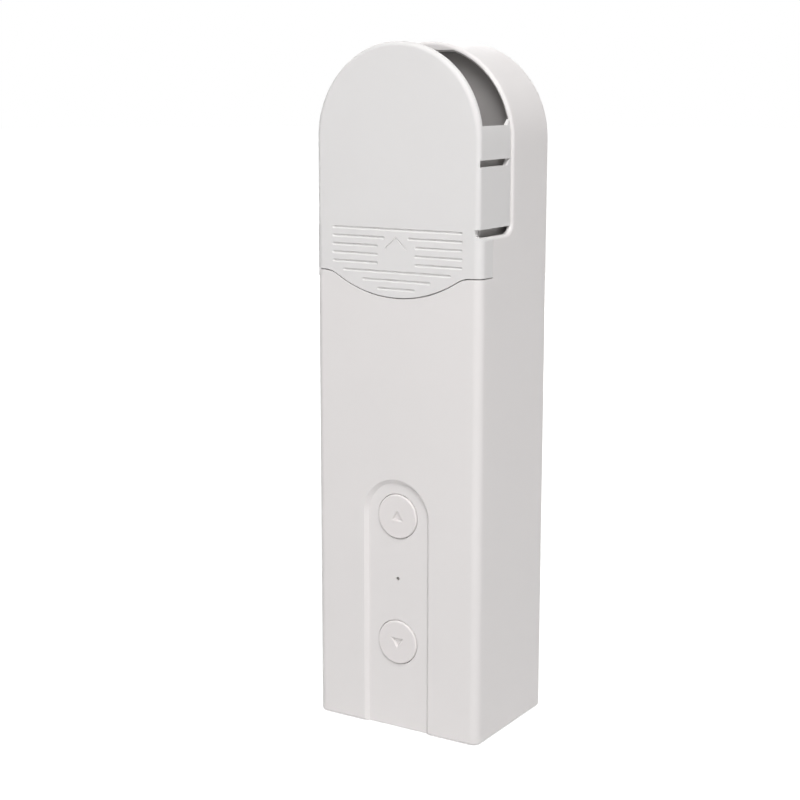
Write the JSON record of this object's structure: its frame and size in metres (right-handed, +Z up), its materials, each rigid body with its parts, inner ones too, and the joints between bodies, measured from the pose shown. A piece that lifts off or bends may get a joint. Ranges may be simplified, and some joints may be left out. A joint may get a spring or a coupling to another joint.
{
  "type": "roller shade motor",
  "caption": "Battery powered motor for a beaded roller shade chain, with a round head, a sliding front cover, side chain slots and two push buttons.",
  "frame": {"origin": "centre of the bounding box of the housing at its bottom face", "axes": "+Z up along the tall housing to the round head; -Y the way the front cover and buttons face; +X to the right seen from the front"},
  "size_m": [0.054, 0.039, 0.1964],
  "materials": {
    "shell_white": "fine moulded satin white",
    "cover_white": "fine moulded satin white",
    "button_white": "fine moulded satin white",
    "well_grey": "moulded dark grey",
    "wheel_grey": "moulded acetal, light sheen",
    "gear_white": "moulded acetal",
    "steel": "turned steel",
    "screw_steel": "plated steel",
    "bush_bronze": "sintered bronze",
    "motor_steel": "drawn and plated can",
    "motor_cap": "moulded black",
    "case_grey": "moulded grey",
    "board_green": "solder resist",
    "switch_black": "moulded black",
    "clear": "clear moulded light pipe",
    "cell_wrap": "shrunk sleeve, no print",
    "contact": "nickel plated spring steel",
    "plate_white": "moulded white"
  },
  "bodies": {
    "housing": {"main_shell": "shell_white", "rear_cover": "shell_white", "rear_screws": "screw_steel", "chain_well": "well_grey", "well_bush": "bush_bronze", "case_bush": "bush_bronze", "idler_pin": "steel", "motor_can": "motor_steel", "motor_end_cap": "motor_cap", "motor_screws": "screw_steel", "gear_case": "case_grey", "gear_case_cover": "case_grey", "gear_case_screws": "screw_steel", "up_switch": "switch_black", "down_switch": "switch_black", "status_light": "clear", "light_pipe": "clear", "circuit_board": "board_green", "usb_shell": "contact", "usb_tongue": "switch_black", "set_switch": "switch_black", "cell_left": "cell_wrap", "cell_right": "cell_wrap", "battery_tray": "case_grey", "cell_contacts": "contact"},
    "front_cover": {"front_cover": "cover_white"},
    "chain_wheel": {"chain_wheel": "wheel_grey", "drive_shaft": "steel", "wheel_screw": "screw_steel", "output_gear": "gear_white"},
    "idler_gear": {"idler_gear": "gear_white"},
    "motor_rotor": {"motor_rotor": "steel", "motor_pinion": "bush_bronze"},
    "up_button": {"up_button": "button_white"},
    "down_button": {"down_button": "button_white"},
    "set_button": {"set_button": "button_white"},
    "wall_plate": {"wall_plate": "plate_white"}
  },
  "joints": [
    {"name": "cover_slide", "type": "slide", "parent": "housing", "child": "front_cover", "axis": [0, 0, 1], "range_m": [0, 0.03]},
    {"name": "wheel_turn", "type": "hinge", "parent": "housing", "child": "chain_wheel", "pos_m": [0, -0.0085, 0.151], "axis": [0, 1, 0], "continuous": true},
    {"name": "idler_turn", "type": "hinge", "parent": "housing", "child": "idler_gear", "pos_m": [0, 0.0097, 0.131], "axis": [0, 1, 0], "continuous": true},
    {"name": "rotor_turn", "type": "hinge", "parent": "housing", "child": "motor_rotor", "pos_m": [0, 0.006, 0.112], "axis": [0, 1, 0], "continuous": true},
    {"name": "up_press", "type": "slide", "parent": "housing", "child": "up_button", "axis": [0, 1, 0], "range_m": [0, 0.0005], "stiffness_N_per_m": 1200, "springref_m": -0.001},
    {"name": "down_press", "type": "slide", "parent": "housing", "child": "down_button", "axis": [0, 1, 0], "range_m": [0, 0.0005], "stiffness_N_per_m": 1200, "springref_m": -0.001},
    {"name": "set_press", "type": "slide", "parent": "housing", "child": "set_button", "axis": [0, 0, 1], "range_m": [0, 0.0004], "stiffness_N_per_m": 800, "springref_m": -0.001},
    {"name": "wall_plate_release", "type": "slide", "parent": "housing", "child": "wall_plate", "axis": [0, 0, -1], "range_m": [0, 0.013]}
  ],
  "couplings": [
    {"joint": "idler_turn", "follows": "wheel_turn", "ratio": -3},
    {"joint": "rotor_turn", "follows": "wheel_turn", "ratio": 8.4}
  ]
}
